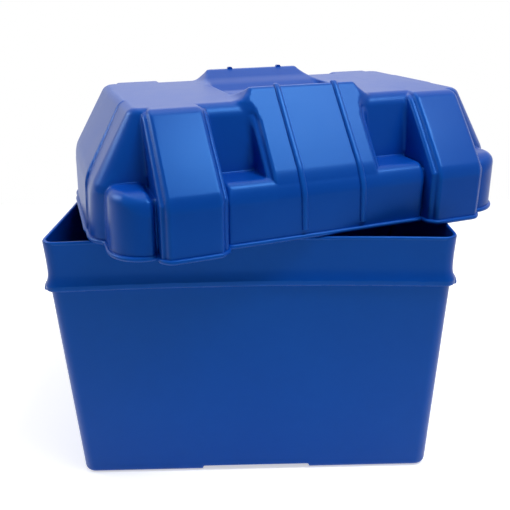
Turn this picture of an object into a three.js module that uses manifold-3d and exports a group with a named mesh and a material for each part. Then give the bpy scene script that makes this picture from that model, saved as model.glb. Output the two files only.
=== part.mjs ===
// Battery box: an open tub with a collar round its mouth, and a deep lid that lifts off.
//
// Both pieces are injection mouldings in polypropylene, each a thin shell of even wall.
// The lid is shown as it lies when somebody has just lifted it and put it down again:
// turned on the tub's rim, its own rim resting flat on the four walls of the tub.
//
// Millimetres, +Z up. The origin is under the middle of the lid, on the plane that the tub
// stands on. The tub's long walls run along X, and its front wall faces -Y.
import * as THREE from 'three';
import { mergeVertices } from 'three/addons/utils/BufferGeometryUtils.js';
import Module from 'manifold-3d';

const wasm = await Module();
wasm.setup();

// Driving dimensions of the tub
const rimLength = 403;          // over the collar at the mouth
const rimWidth = 285.2;
const tubHeight = 285;
const baseLength = 390.5;       // over the foot of the walls
const baseWidth = 269.2;
const tubWall = 3.2;
const collarHeight = 50.5;      // from the ledge up to the rim
const ledgeStep = 3;            // how far the ledge stands proud of the wall below it
const ledgeReach = 2.1;         // how far the ledge stands out past the rim
const collarWaist = 0.5;        // how far the collar draws in between ledge and rim
const ledgeThickness = 4.5;     // height of the ledge's edge
const ledgeFlare = 9;           // height over which the collar runs out into the ledge
const rimBand = 4;              // height of the thickened edge at the mouth
const mouthCorner = 13;         // plan radius of the corners at the mouth
const baseCorner = 16;
const wallBow = 8;              // how far the long walls draw in at mid length
const endBow = 1.5;
const footRound = 5;            // radius of the edge between walls and underside

// Underside, floor and end lips of the tub
const channelWidth = 120;       // strap channel between the two feet
const channelHeight = 5.4;
const floorThickness = 3.4;
const floorRibWidth = 3;
const floorRibRows = 5;
const floorRibMargin = 14;      // from a rib to the wall, and to the channel's roof
const lipReach = 5.6;           // end lips, measured from the ledge outwards
const lipRise = 13;             // height over which a lip runs back into the collar
const lipNose = 4;              // height of the blunt nose at its foot
const lipInset = 11;            // from the end of a lip to the corner of the ledge
const lipRoot = 12;             // how far a lip's block starts inside the wall

// Driving dimensions of the lid
const lidWall = 3;
const crownHeight = 123;        // rim to the flat top
const crestRise = 13.5;         // from the flat top up to the crests of the bands
const skirtHeight = 60;         // rim to the pocket floors
const skirtGap = 1.7;           // lid wall to rim, along the middle of the long sides
const endGap = 2.8;             // lid wall to rim, at the corners of the ends
const wallDraft = 1.6;          // how much a skirt wall leans in over the skirt's height
const lipHeight = 3.4;          // bead round the lid's rim
const beadReach = 1.8;
const skirtCorner = 40;         // plan radius of the low corners
const skirtEdge = 10;           // radius of their upper edge
const cornerStep = 4.8;         // corners stand proud of the middle of the long walls
const cornerLand = 42.5;        // width of a low corner, outside its buttress
const cornerDepth = 96;

// Crown: the raised body of the lid with sloping ends
const crownEndStep = 11.7;      // ends of the crown, proud of the low corners
const crownEndDraft = 4.5;      // how much they lean in below their shoulder
const crownSide = 110.5;        // half width of the crown at the pocket floors
const crownSideTop = 94;
const crownEndTop = 175;        // half length of the flat top
const crownShoulder = 54;       // height at which its ends start to slope
const crownCorner = 29;
const crownEdge = 12;
const endPadTop = 39;           // raised pad on each end, half widths
const endPadFoot = 58;
const endPadRise = 3;

// Buttresses: four sloping blocks, two on each long side
const buttressWidth = 56.5;
const buttressStep = 16.6;      // proud of the middle of the long walls
const buttressShoulder = 53;
const buttressTop = 98.5;       // half width of the lid over their upper ends
const buttressPinch = 6;        // how much narrower they are at the top
const buttressEdge = 8;
const buttressCorner = 7;
const tierInner = 9;            // the lower step that frames each raised pad
const tierOuter = 5.5;
const tierDepth = 4.5;

// Bands: raised strap seats across the middle of each long side
const bandHalfWidth = 55;
const bandCrest = 78;           // half distance between the outer edges of the crests
const crestWidth = 4;
const bandShoulder = 53;
const bandShoulderEdge = 16;
const crestEdge = 3;
const bandFoot = 71;            // half width of a band where it rises out of the flat top
const bandFootPinch = 8;        // how much narrower that foot is at the front
const guideSpacing = 62.4;      // between the two strap guides on a band
const guideWidth = 5.5;
const guideHeight = 2.6;
const guideStart = 7;           // height above the rim at which a guide begins

// Valley between the bands, lower than the flat top
const valleyDrop = 4.5;
const valleyLap = 4;            // how far the bands' feet overlap the ends of the valley
const valleyHalfWidth = 30;
const valleyCorner = 12;
const valleyFloor = 20;

// Where the lid lies
const lidTurn = 19.5;           // degrees
const tubShiftX = -27.3;        // middle of the tub, seen from the middle of the lid
const tubShiftY = -9;
const seatGap = 0.3;

// Facets
const cornerSteps = 4;
const innerCornerSteps = 2;
const arcSteps = 4;
const innerArcSteps = 2;
const ringSpacing = 0.4;        // rings nearer to each other than this become one
const longWallSteps = 8;
const endWallSteps = 4;
const footSteps = 2;
const overrun = 6;

// Shares of the sizes above
const roomShare = 0.49;         // most of an edge that a rounding may take up
const innerEdgeShare = 1 / 3;   // least radius of an edge inside the lid, of its wall
const beadLandShare = 0.6;      // part of the lid's bead that stands at its full reach
const undercutShare = 1 / 3;    // how far the ledge's underside slopes, of its thickness
const rimRunShare = 1.5;        // height over which the rim's band runs out, of its height
const rimEdgeShare = 0.25;      // bevel along the top of that band
const lipCrownShare = 0.25;     // how far an end lip's nose leans back at its top
const crestLandShare = 1 / 3;   // least width of a crest's land

const halfRimLength = rimLength / 2;
const halfRimWidth = rimWidth / 2;
const ledgeLevel = tubHeight - collarHeight;
const lidHeight = crownHeight + crestRise;
const valleyHeight = crownHeight - valleyDrop;
const valleyHalfLength = bandFoot - valleyLap;

// Rounded rectangle in plan, counter-clockwise, at one height. Its long sides can be
// drawn in at their middle, and then they are divided so that the curve shows.
function planRing(box, radius, z, steps, bow = { x: 0, y: 0, alongX: 1, alongY: 1 }) {
  const width = box.right - box.left;
  const depth = box.far - box.near;
  const r = Math.min(radius, roomShare * width, roomShare * depth);
  const midX = (box.left + box.right) / 2;
  const midY = (box.near + box.far) / 2;
  const corners = [
    [box.right - r, box.near + r, -Math.PI / 2],
    [box.right - r, box.far - r, 0],
    [box.left + r, box.far - r, Math.PI / 2],
    [box.left + r, box.near + r, Math.PI],
  ];
  const points = [];
  corners.forEach(([cx, cy, start], index) => {
    for (let i = 0; i <= steps; i += 1) {
      const angle = start + (i / steps) * (Math.PI / 2);
      points.push([cx + r * Math.cos(angle), cy + r * Math.sin(angle)]);
    }
    const pieces = index % 2 === 0 ? bow.alongY : bow.alongX;
    const from = points[points.length - 1];
    const [nx, ny, nextStart] = corners[(index + 1) % 4];
    const to = [nx + r * Math.cos(nextStart), ny + r * Math.sin(nextStart)];
    for (let i = 1; i < pieces; i += 1) {
      const t = i / pieces;
      points.push([from[0] + t * (to[0] - from[0]), from[1] + t * (to[1] - from[1])]);
    }
  });
  return points.map(([x, y]) => {
    const shareX = (2 * (x - midX)) / width;
    const shareY = (2 * (y - midY)) / depth;
    return [
      x - Math.sign(shareX) * bow.x * Math.max(0, 1 - shareY * shareY) * Math.abs(shareX),
      y - Math.sign(shareY) * bow.y * Math.max(0, 1 - shareX * shareX) * Math.abs(shareY),
      z,
    ];
  });
}

// Closed skin through a pile of rings that all have the same number of points.
function loft(rings) {
  const count = rings[0].length;
  const positions = rings.flat(2);
  const triangles = [];
  for (let level = 0; level + 1 < rings.length; level += 1) {
    for (let i = 0; i < count; i += 1) {
      const a = level * count + i;
      const b = level * count + ((i + 1) % count);
      triangles.push(a, b, b + count, a, b + count, a + count);
    }
  }
  const top = (rings.length - 1) * count;
  for (let i = 1; i + 1 < count; i += 1) {
    triangles.push(0, i + 1, i);
    triangles.push(top, top + i, top + i + 1);
  }
  const geometry = new THREE.BufferGeometry();
  geometry.setAttribute('position', new THREE.Float32BufferAttribute(positions, 3));
  geometry.setIndex(triangles);
  return geometry;
}

function solidOf(geometry) {
  const bare = geometry.clone();
  bare.deleteAttribute('normal');
  bare.deleteAttribute('uv');
  const merged = mergeVertices(bare);
  return new wasm.Manifold(new wasm.Mesh({
    numProp: 3,
    vertProperties: new Float32Array(merged.attributes.position.array),
    triVerts: new Uint32Array(merged.index.array),
  }));
}

function geometryOf(solid) {
  const mesh = solid.getMesh();
  const geometry = new THREE.BufferGeometry();
  geometry.setAttribute('position', new THREE.BufferAttribute(new Float32Array(mesh.vertProperties), 3));
  geometry.setIndex(new THREE.BufferAttribute(new Uint32Array(mesh.triVerts), 1));
  geometry.computeVertexNormals();
  return geometry;
}

const joinAll = (solids) => solids.reduce((sum, next) => sum.add(next));

// A side view of a piece is an outline of corners [reach, height, radius], from the rim up
// and in to the middle. This moves every edge of it into the material by the same depth.
function insetOutline(corners, depth) {
  const edges = [];
  for (let i = 0; i + 1 < corners.length; i += 1) {
    const run = corners[i + 1][0] - corners[i][0];
    const rise = corners[i + 1][1] - corners[i][1];
    const length = Math.hypot(run, rise);
    const normal = [-rise / length, run / length];
    edges.push({
      point: [corners[i][0] + normal[0] * depth, corners[i][1] + normal[1] * depth],
      along: [run / length, rise / length],
    });
  }
  const moved = [[...edges[0].point, 0]];
  for (let i = 0; i + 1 < edges.length; i += 1) {
    const { point: p, along: u } = edges[i];
    const { point: q, along: v } = edges[i + 1];
    const t = ((q[0] - p[0]) * v[1] - (q[1] - p[1]) * v[0]) / (u[0] * v[1] - u[1] * v[0]);
    const radius = Math.max(corners[i + 1][2] - depth, innerEdgeShare * lidWall);
    moved.push([p[0] + t * u[0], p[1] + t * u[1], radius]);
  }
  const last = corners[corners.length - 1];
  moved.push([last[0], last[1] - depth, 0]);
  return moved;
}

// The same outline with its corners turned into arcs.
function roundOutline(corners, steps) {
  const points = [corners[0].slice(0, 2)];
  for (let i = 1; i + 1 < corners.length; i += 1) {
    const [x, z, radius] = corners[i];
    const back = new THREE.Vector2(corners[i - 1][0] - x, corners[i - 1][1] - z);
    const on = new THREE.Vector2(corners[i + 1][0] - x, corners[i + 1][1] - z);
    const room = roomShare * Math.min(back.length(), on.length());
    back.normalize();
    on.normalize();
    const half = Math.acos(THREE.MathUtils.clamp(back.dot(on), -1, 1)) / 2;
    const tangent = Math.min(radius / Math.tan(half), room);
    const r = tangent * Math.tan(half);
    const middle = back.clone().add(on).normalize().multiplyScalar(r / Math.sin(half));
    const centre = new THREE.Vector2(x, z).add(middle);
    const from = back.clone().multiplyScalar(tangent).sub(middle);
    const to = on.clone().multiplyScalar(tangent).sub(middle);
    const sweep = Math.atan2(from.x * to.y - from.y * to.x, from.dot(to));
    for (let step = 0; step <= steps; step += 1) {
      const arm = from.clone().rotateAround(new THREE.Vector2(), (step / steps) * sweep);
      points.push([centre.x + arm.x, centre.y + arm.y]);
    }
  }
  points.push(corners[corners.length - 1].slice(0, 2));
  return points;
}

// How far out an outline stands at a height.
function reachAt(points, z) {
  if (z <= points[0][1]) return points[0][0];
  for (let i = 0; i + 1 < points.length; i += 1) {
    const [r0, z0] = points[i];
    const [r1, z1] = points[i + 1];
    if (z <= z1 && z1 > z0) return r0 + ((z - z0) / (z1 - z0)) * (r1 - r0);
  }
  return points[points.length - 2][0];
}

// Rounding at the top of a side wall: how far it has drawn in at a height.
function topRounding(z, top, radius) {
  const up = z - (top - radius);
  return up <= 0 ? 0 : radius - Math.sqrt(Math.max(0, radius * radius - up * up));
}

// The heights at which a form of the lid gets a ring. Outer forms start on the rim and
// carry its bead, and inner forms, which are cut away, start below the rim.
function levelsOf(points, inner, extra = []) {
  const edge = inner ? [-overrun] : [0, beadLandShare * lipHeight, lipHeight];
  const lowest = edge[edge.length - 1];
  const top = points[points.length - 1][1];
  const rest = points.map((p) => p[1]).concat(extra).filter((z) => z > lowest && z < top - ringSpacing);
  const kept = [];
  for (const z of edge.concat(rest).sort((a, b) => a - b)) {
    if (kept.length === 0 || z - kept[kept.length - 1] > ringSpacing) kept.push(z);
  }
  return kept.concat(top);
}

const beadAt = (z, inner) => (inner || z >= lipHeight ? 0 : beadReach);

// A tapering form of the lid: bounds is a function of height that gives the plan box, and
// may pinch its near side.
function form(levels, bounds, corner, inner, mirrorX = 1, mirrorY = 1) {
  const steps = inner ? innerCornerSteps : cornerSteps;
  return solidOf(loft(levels.map((z) => {
    const b = bounds(z);
    const bead = beadAt(z, inner);
    const xs = [mirrorX * (b.left - bead), mirrorX * (b.right + bead)].sort((p, q) => p - q);
    const ys = [mirrorY * (b.near - bead), mirrorY * (b.far + bead)].sort((p, q) => p - q);
    const box = { left: xs[0], right: xs[1], near: ys[0], far: ys[1] };
    const ring = planRing(box, corner + bead, z, steps);
    if (!b.pinch) return ring;
    return ring.map(([x, y]) => {
      const share = (y - mirrorY * b.far) / (mirrorY * (b.near - b.far));
      return [x - Math.sign(x) * share * b.pinch, y, z];
    });
  })));
}

// Half sizes of the lid's rim, taken from the tub that it covers
const skirtHalfWidth = halfRimWidth + skirtGap + lidWall;
const skirtHalfLength = halfRimLength + endGap + lidWall;
const cornerHalfWidth = skirtHalfWidth + cornerStep;
const crownHalfLength = skirtHalfLength + crownEndStep;
const buttressReach = skirtHalfWidth + buttressStep;
const buttressOuter = skirtHalfLength - cornerLand;
const buttressInner = buttressOuter - buttressWidth;
const mirrors = [[1, 1], [-1, 1], [1, -1], [-1, -1]];

function finish(corners, depth) {
  return roundOutline(insetOutline(corners, depth), depth > 0 ? innerArcSteps : arcSteps);
}

// Low skirt all round: its upper face is the floor of the pockets.
function skirt(depth) {
  const inner = depth > 0;
  const side = finish([
    [skirtHalfWidth, 0, 0],
    [skirtHalfWidth - wallDraft, skirtHeight, skirtEdge],
    [0, skirtHeight, 0],
  ], depth);
  const shift = skirtHalfLength - skirtHalfWidth;
  return form(levelsOf(side, inner), (z) => {
    const reach = reachAt(side, z);
    return { left: -reach - shift, right: reach + shift, near: -reach, far: reach };
  }, skirtCorner - depth, inner);
}

// Low corners, which stand a little proud of the middle of the long walls.
function lowCorners(depth) {
  const inner = depth > 0;
  const side = finish([
    [cornerHalfWidth, 0, 0],
    [cornerHalfWidth - wallDraft, skirtHeight, skirtEdge],
    [0, skirtHeight, 0],
  ], depth);
  const shift = skirtHalfLength - cornerHalfWidth;
  const left = buttressOuter - skirtCorner;
  return mirrors.map(([mx, my]) => form(levelsOf(side, inner), (z) => {
    const reach = reachAt(side, z);
    return { left, right: reach + shift, near: -reach, far: cornerDepth - cornerHalfWidth };
  }, skirtCorner - depth, inner, mx, my));
}

// Crown with a flat top, nearly upright long sides and sloping ends.
function crown(depth) {
  const inner = depth > 0;
  const end = finish([
    [crownHalfLength, 0, 0],
    [crownHalfLength - crownEndDraft, crownShoulder, crownEdge],
    [crownEndTop, crownHeight, crownEdge],
    [0, crownHeight, 0],
  ], depth);
  const side = finish([
    [crownSide, 0, 0],
    [crownSide, skirtHeight, crownEdge / 2],
    [crownSideTop, crownHeight, crownEdge],
    [0, crownHeight, 0],
  ], depth);
  return form(levelsOf(end, inner, side.map((p) => p[1])), (z) => {
    const x = reachAt(end, z);
    const y = reachAt(side, z);
    return { left: -x, right: x, near: -y, far: y };
  }, crownCorner - depth, inner);
}

// A raised pad down the middle of each sloping end.
function endPads(depth) {
  const inner = depth > 0;
  const end = finish([
    [crownHalfLength + endPadRise / 2, 0, 0],
    [crownHalfLength - crownEndDraft + endPadRise, crownShoulder + endPadRise / 2, crownEdge],
    [crownEndTop + endPadRise, crownHeight, crownEdge / 2],
    [0, crownHeight, 0],
  ], depth);
  return [1, -1].map((mx) => form(levelsOf(end, inner), (z) => {
    const share = THREE.MathUtils.clamp((z - crownShoulder) / (crownHeight - crownShoulder), 0, 1);
    const half = THREE.MathUtils.lerp(endPadFoot, endPadTop, share) - depth;
    return { left: crownSide, right: reachAt(end, z), near: -half, far: half };
  }, buttressCorner, inner, mx, 1));
}

// Buttresses: each is a raised pad on a wider, lower tier.
function buttresses(depth, drop, inward, outward) {
  const inner = depth > 0;
  const side = finish(insetOutline([
    [buttressReach, 0, 0],
    [buttressReach - wallDraft, buttressShoulder, buttressEdge],
    [buttressTop, crownHeight, buttressEdge],
    [0, crownHeight, 0],
  ], drop).map((corner) => [corner[0], Math.min(corner[1], crownHeight), corner[2]]), depth);
  const top = side[side.length - 1][1];
  return mirrors.map(([mx, my]) => form(levelsOf(side, inner), (z) => {
    const share = THREE.MathUtils.clamp((z - buttressShoulder) / (crownHeight - buttressShoulder), 0, 1);
    const edge = topRounding(z, top, buttressEdge / 2) + depth;
    return {
      left: buttressInner - inward + share * buttressPinch + edge,
      right: buttressOuter + outward - edge,
      near: -reachAt(side, z),
      far: -crownSide / 2,
    };
  }, buttressCorner, inner, mx, my));
}

// Bands: the strap seats. Outside they slope down to the skirt, inside they fall gently
// into the valley, and their crests stand above the flat top.
function bands(depth, drop, spread) {
  const inner = depth > 0;
  const side = finish(insetOutline([
    [skirtHalfWidth, 0, 0],
    [skirtHalfWidth - wallDraft, bandShoulder, bandShoulderEdge],
    [bandCrest, lidHeight, crestEdge],
    [0, lidHeight, 0],
  ], drop), depth);
  const top = side[side.length - 1][1];
  const fall = (lidHeight - valleyHeight) / (bandCrest - crestWidth - valleyFloor / 2);
  const lowered = drop + depth;
  const inside = (z) => {
    const above = z + lowered - valleyHeight;
    const crestLand = crestLandShare * crestWidth;
    return above <= 0 ? 0 : Math.min(valleyFloor / 2 + above / fall, reachAt(side, z) - crestLand);
  };
  const plateau = crownHeight - lowered;
  const valleyTop = valleyHeight - lowered;
  const widen = plateau - crownEdge;
  const levels = levelsOf(side, inner, [widen, valleyTop, plateau, (plateau + top) / 2]);
  return [1, -1].map((my) => form(levels, (z) => {
    const swell = inner ? 0 : THREE.MathUtils.clamp((z - widen) / (valleyTop - widen), 0, 1);
    const taper = THREE.MathUtils.clamp((z - plateau) / (top - plateau), 0, 1);
    const flank = THREE.MathUtils.lerp(bandHalfWidth + spread, bandFoot, swell);
    const half = THREE.MathUtils.lerp(flank, bandHalfWidth, taper) - depth;
    const pinch = bandFootPinch * swell * (1 - taper);
    return { left: -half, right: half, near: -reachAt(side, z), far: -inside(z), pinch };
  }, buttressCorner / 2, inner, 1, my));
}

// Strap guides: two ribs on each band, from just above the rim to over the crest.
function strapGuides() {
  const corners = [
    [skirtHalfWidth, 0, 0],
    [skirtHalfWidth - wallDraft, bandShoulder, bandShoulderEdge],
    [bandCrest, lidHeight, crestEdge],
    [bandCrest - crestWidth - guideHeight, lidHeight, 0],
  ];
  const outer = roundOutline(insetOutline(corners, -guideHeight), arcSteps).filter((p) => p[1] > guideStart);
  const below = roundOutline(insetOutline(corners, lidWall / 2), arcSteps).filter((p) => p[1] > guideStart);
  const foot = [[skirtHalfWidth, guideStart], [skirtHalfWidth - lidWall, guideStart]];
  const outline = [...foot.slice(0, 1), ...outer, ...below.reverse(), ...foot.slice(1)];
  const shape = new THREE.Shape(outline.map(([reach, z]) => new THREE.Vector2(-reach, z)));
  const solids = [];
  for (const side of [1, -1]) {
    for (const mirror of [1, -1]) {
      const rib = new THREE.ExtrudeGeometry(shape, { depth: guideWidth, bevelEnabled: false });
      rib.rotateX(Math.PI / 2);
      rib.rotateZ(Math.PI / 2);
      if (mirror < 0) rib.rotateZ(Math.PI);
      const start = (side * guideSpacing - mirror * guideWidth) / 2;
      rib.translate(start, 0, 0);
      solids.push(solidOf(rib));
    }
  }
  return solids;
}

// The hollow between the bands that is taken out of the flat top, before the bands go in.
function valley(depth) {
  const box = {
    left: -valleyHalfLength - depth,
    right: valleyHalfLength + depth,
    near: -valleyHalfWidth - depth,
    far: valleyHalfWidth + depth,
  };
  const floor = valleyHeight - depth;
  return solidOf(loft([
    planRing(box, valleyCorner, floor, cornerSteps),
    planRing(box, valleyCorner, lidHeight + overrun, cornerSteps),
  ]));
}

function lidForm(depth) {
  const body = joinAll([
    crown(depth),
    skirt(depth),
    ...lowCorners(depth),
    ...endPads(depth),
    ...buttresses(depth, tierDepth, tierInner, tierOuter),
    ...buttresses(depth, 0, 0, 0),
  ]);
  return joinAll([
    body.subtract(valley(depth)),
    ...bands(depth, tierDepth, tierOuter),
    ...bands(depth, 0, 0),
  ]);
}

function lidSolid() {
  return joinAll([lidForm(0), ...strapGuides()]).subtract(lidForm(lidWall));
}

// One ring of the tub: its half sizes at a height, with the walls drawn in towards the mouth.
function tubRing(halfLength, halfWidth, radius, z) {
  const share = Math.min(1, Math.max(0, z / ledgeLevel));
  const bow = { x: endBow * share, y: wallBow * share, alongX: longWallSteps, alongY: endWallSteps };
  const box = { left: -halfLength, right: halfLength, near: -halfWidth, far: halfWidth };
  return planRing(box, radius, z, cornerSteps, bow);
}

// Side view of the tub's wall: how far it stands in from the rim at each height.
function tubProfile() {
  const foot = (rimLength - baseLength) / 2;
  const under = ledgeStep - ledgeReach;
  const rimBevel = rimEdgeShare * rimBand;
  return [
    [foot, footRound, baseCorner],
    [under, ledgeLevel - undercutShare * ledgeThickness, mouthCorner],
    [-ledgeReach, ledgeLevel, mouthCorner],
    [-ledgeReach, ledgeLevel + ledgeThickness, mouthCorner],
    [collarWaist, ledgeLevel + ledgeThickness + ledgeFlare, mouthCorner],
    [collarWaist / 2, tubHeight - rimRunShare * rimBand, mouthCorner],
    [0, tubHeight - rimBand, mouthCorner],
    [0, tubHeight - rimBevel, mouthCorner],
    [rimBevel, tubHeight, mouthCorner - rimBevel],
  ];
}

function tubOuter() {
  const foot = (rimLength - baseLength) / 2;
  const rounded = [];
  for (let step = 0; step < footSteps; step += 1) {
    const angle = (step / footSteps) * (Math.PI / 2);
    const inset = footRound * (1 - Math.sin(angle));
    rounded.push([foot + inset, footRound * (1 - Math.cos(angle)), baseCorner - inset]);
  }
  return solidOf(loft([...rounded, ...tubProfile()].map(([inward, z, radius]) => (
    tubRing(halfRimLength - inward, halfRimWidth - inward, radius, z)
  ))));
}

function tubCavity() {
  const foot = (rimLength - baseLength) / 2;
  const levels = [
    [foot + footRound, floorThickness, baseCorner - footRound],
    [foot, floorThickness + footRound, baseCorner],
    [ledgeStep - ledgeReach, ledgeLevel, mouthCorner],
    [collarWaist, ledgeLevel + ledgeThickness + ledgeFlare, mouthCorner],
    [collarWaist / 2, tubHeight - rimBand, mouthCorner],
    [collarWaist / 2, tubHeight + overrun, mouthCorner],
  ];
  return solidOf(loft(levels.map(([inward, z, radius]) => (
    tubRing(halfRimLength - inward - tubWall, halfRimWidth - inward - tubWall, radius - tubWall, z)
  ))));
}

// A lip along each end at the height of the ledge: fingers lift the tub by it.
function endLips() {
  const tip = halfRimLength + ledgeReach + lipReach;
  const half = halfRimWidth - lipInset;
  const root = halfRimLength - lipRoot;
  const foot = ledgeLevel - undercutShare * ledgeThickness;
  const levels = [
    [tip - lipNose / 2, foot],
    [tip, foot + lipNose / 2],
    [tip - lipCrownShare * lipNose, foot + lipNose],
    [halfRimLength - collarWaist, foot + lipRise],
  ];
  return [1, -1].map((side) => solidOf(loft(levels.map(([reach, z]) => {
    const xs = [side * root, side * reach].sort((p, q) => p - q);
    return planRing({ left: xs[0], right: xs[1], near: -half, far: half }, lipReach, z, cornerSteps);
  }))));
}

function block(width, depth, height, x, y, z) {
  const box = new THREE.BoxGeometry(width, depth, height);
  box.translate(x, y, z + height / 2);
  return solidOf(box);
}

// Strap channel across the underside, its roof inside the tub, and ribs level with that roof.
function channelRoof() {
  return block(channelWidth + 2 * floorThickness, rimWidth, channelHeight + floorThickness, 0, 0, 0);
}

function floorRibs() {
  const start = channelWidth / 2 + floorThickness + floorRibMargin;
  const end = baseLength / 2 - tubWall - floorRibMargin;
  const spread = baseWidth - 2 * (tubWall + floorRibMargin);
  const ribs = [];
  for (const side of [1, -1]) {
    for (let row = 0; row < floorRibRows; row += 1) {
      const y = (row / (floorRibRows - 1)) * spread - spread / 2;
      const height = channelHeight + floorThickness;
      ribs.push(block(end - start, floorRibWidth, height, side * (start + end) / 2, y, 0));
    }
  }
  return ribs;
}

function tubSolid() {
  const hollow = joinAll([channelRoof(), ...floorRibs()]);
  const channel = block(channelWidth, rimWidth, channelHeight + overrun, 0, 0, -overrun);
  return joinAll([tubOuter(), ...endLips()])
    .subtract(tubCavity().subtract(hollow))
    .subtract(channel);
}

const polypropyleneBlue = 0x14489a;
const satin = 0.42;

function moulding(name, solid, colour) {
  const material = new THREE.MeshStandardMaterial({ color: colour, roughness: satin, metalness: 0 });
  const mesh = new THREE.Mesh(geometryOf(solid), material);
  mesh.name = name;
  return mesh;
}

const batteryBox = new THREE.Group();
batteryBox.name = 'battery_box';

const tub = moulding('tub', tubSolid(), polypropyleneBlue);
tub.position.set(tubShiftX, tubShiftY, 0);
batteryBox.add(tub);

const lid = moulding('lid', lidSolid(), polypropyleneBlue);
lid.position.z = tubHeight + seatGap;
lid.rotation.z = THREE.MathUtils.degToRad(lidTurn);
batteryBox.add(lid);

export default batteryBox;
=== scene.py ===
# %% [markdown]
# # A moulded battery box, with its lid laid across the mouth
#
# The object is two injection mouldings in blue polypropylene: a deep tub, and a stepped,
# ribbed lid that somebody has lifted and put down again at an angle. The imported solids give
# every size and place. This scene gives the same two pieces the soft edges, the satin skin
# and the light that a real moulding has.

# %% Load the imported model
import math

import bpy
import numpy as np
from mathutils import Matrix, Vector


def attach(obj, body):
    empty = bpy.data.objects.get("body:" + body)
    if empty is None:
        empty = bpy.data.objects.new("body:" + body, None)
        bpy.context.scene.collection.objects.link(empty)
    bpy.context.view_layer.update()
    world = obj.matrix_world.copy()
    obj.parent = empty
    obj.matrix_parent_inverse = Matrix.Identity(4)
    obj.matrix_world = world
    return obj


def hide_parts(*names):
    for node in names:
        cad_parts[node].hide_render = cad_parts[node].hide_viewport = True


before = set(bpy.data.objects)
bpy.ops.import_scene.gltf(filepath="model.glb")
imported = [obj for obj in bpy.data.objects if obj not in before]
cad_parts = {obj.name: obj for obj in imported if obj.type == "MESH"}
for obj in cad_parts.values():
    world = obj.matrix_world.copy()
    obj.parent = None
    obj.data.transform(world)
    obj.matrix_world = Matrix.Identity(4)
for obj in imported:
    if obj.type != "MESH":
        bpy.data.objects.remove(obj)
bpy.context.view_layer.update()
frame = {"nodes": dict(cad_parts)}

print("packed pieces:", ", ".join(frame["nodes"]))

# %% [markdown]
# ## Where the two mouldings lie
#
# Each moulding is easiest to describe in a frame of its own, in millimetres, with its middle
# at zero and its walls along the axes. The tub stands a little to one side of the origin, and
# the lid is turned on its rim. These two places carry a moulding's own frame into the scene.

# %% Places of the tub and the lid
MM = 0.001
TUB_HEIGHT = 285.0
TUB_MIDDLE = (-27.3, -9.0, 0.0)
LID_GAP = 0.3
LID_TURN = 19.5


def turned(degrees, axis):
    """A turn about an axis of the scene."""
    return Matrix.Rotation(math.radians(degrees), 4, axis)


def placed(points, place):
    """Points of a moulding's own frame, in millimetres, as scene points in metres."""
    turn = np.array(place.to_3x3())
    return (np.asarray(points) @ turn.T + np.array(place.translation)) * MM


tub_place = Matrix.Translation(TUB_MIDDLE)
lid_place = Matrix.Translation((0.0, 0.0, TUB_HEIGHT + LID_GAP)) @ turned(LID_TURN, "Z")
print("tub at", TUB_MIDDLE, "and lid turned", LID_TURN, "degrees")

# %% [markdown]
# ## Describing a moulding by distance
#
# A moulded shell has a fillet on every edge and in every corner, because sharp ones stop the
# plastic flowing. Modelling those fillets face by face is slow. Instead each moulding is a
# formula that gives, for any point, roughly how far it lies outside the skin. A flat face is a
# simple distance, two faces meet through a rounded "both", and two bodies merge through a
# rounded "either". Each join has its own radius, so every fillet can be tuned alone.

# %% Faces, rounded edges and filleted joins
def slope(reach, height, foot, head):
    """Distance outside the face that rises from foot to head, each given as (reach, height)."""
    run, rise = head[0] - foot[0], head[1] - foot[1]
    return ((reach - foot[0]) * rise - (height - foot[1]) * run) / math.hypot(run, rise)


def both(a, b, radius):
    """Inside a and b at once, with a rounded edge where they meet."""
    rounded = np.hypot(np.maximum(a + radius, 0), np.maximum(b + radius, 0))
    return np.minimum(np.maximum(a, b), -radius) + rounded


def either(a, b, radius):
    """Inside a or b, with a fillet in the corner between them."""
    return -both(-a, -b, radius)


def ramp(value, start, end):
    """0 before start, 1 after end, and a smooth rise between them."""
    t = np.clip((value - start) / (end - start), 0, 1)
    return t * t * (3 - 2 * t)


def share_between(value, start, end):
    """0 before start, 1 after end, and an even rise between them."""
    return np.clip((value - start) / (end - start), 0, 1)


SAMPLE_EDGE = 10.0
corner_loss = float(both(0.0, 0.0, SAMPLE_EDGE))
print("a radius of", SAMPLE_EDGE, "mm takes", round(corner_loss, 2), "mm off a square corner")

# %% [markdown]
# ## The lid's form
#
# From the rim upwards the lid has a low skirt with four low corners, a long crown with
# sloping ends, a raised pad down each end, and four buttresses whose faces slope from the
# crown to the skirt. Across the middle run two raised bands, where the hold-down strap lies,
# with a deep valley between them. The lid is made the same on all four sides of its middle,
# so the formula works on X and Y, the distances from the middle. Only its upper part leans a
# few millimetres to one side at the front.
#
# A face is written as two points, (reach, height), that it rises through.

# %% Lid: heights
SKIRT_HEIGHT = 60.0
CROWN_HEIGHT = 123.2
CREST_HEIGHT = 135.8
VALLEY_HEIGHT = 107.0
print("lid heights in mm:", SKIRT_HEIGHT, "skirt,", CROWN_HEIGHT, "crown,", CREST_HEIGHT, "crests")

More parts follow.
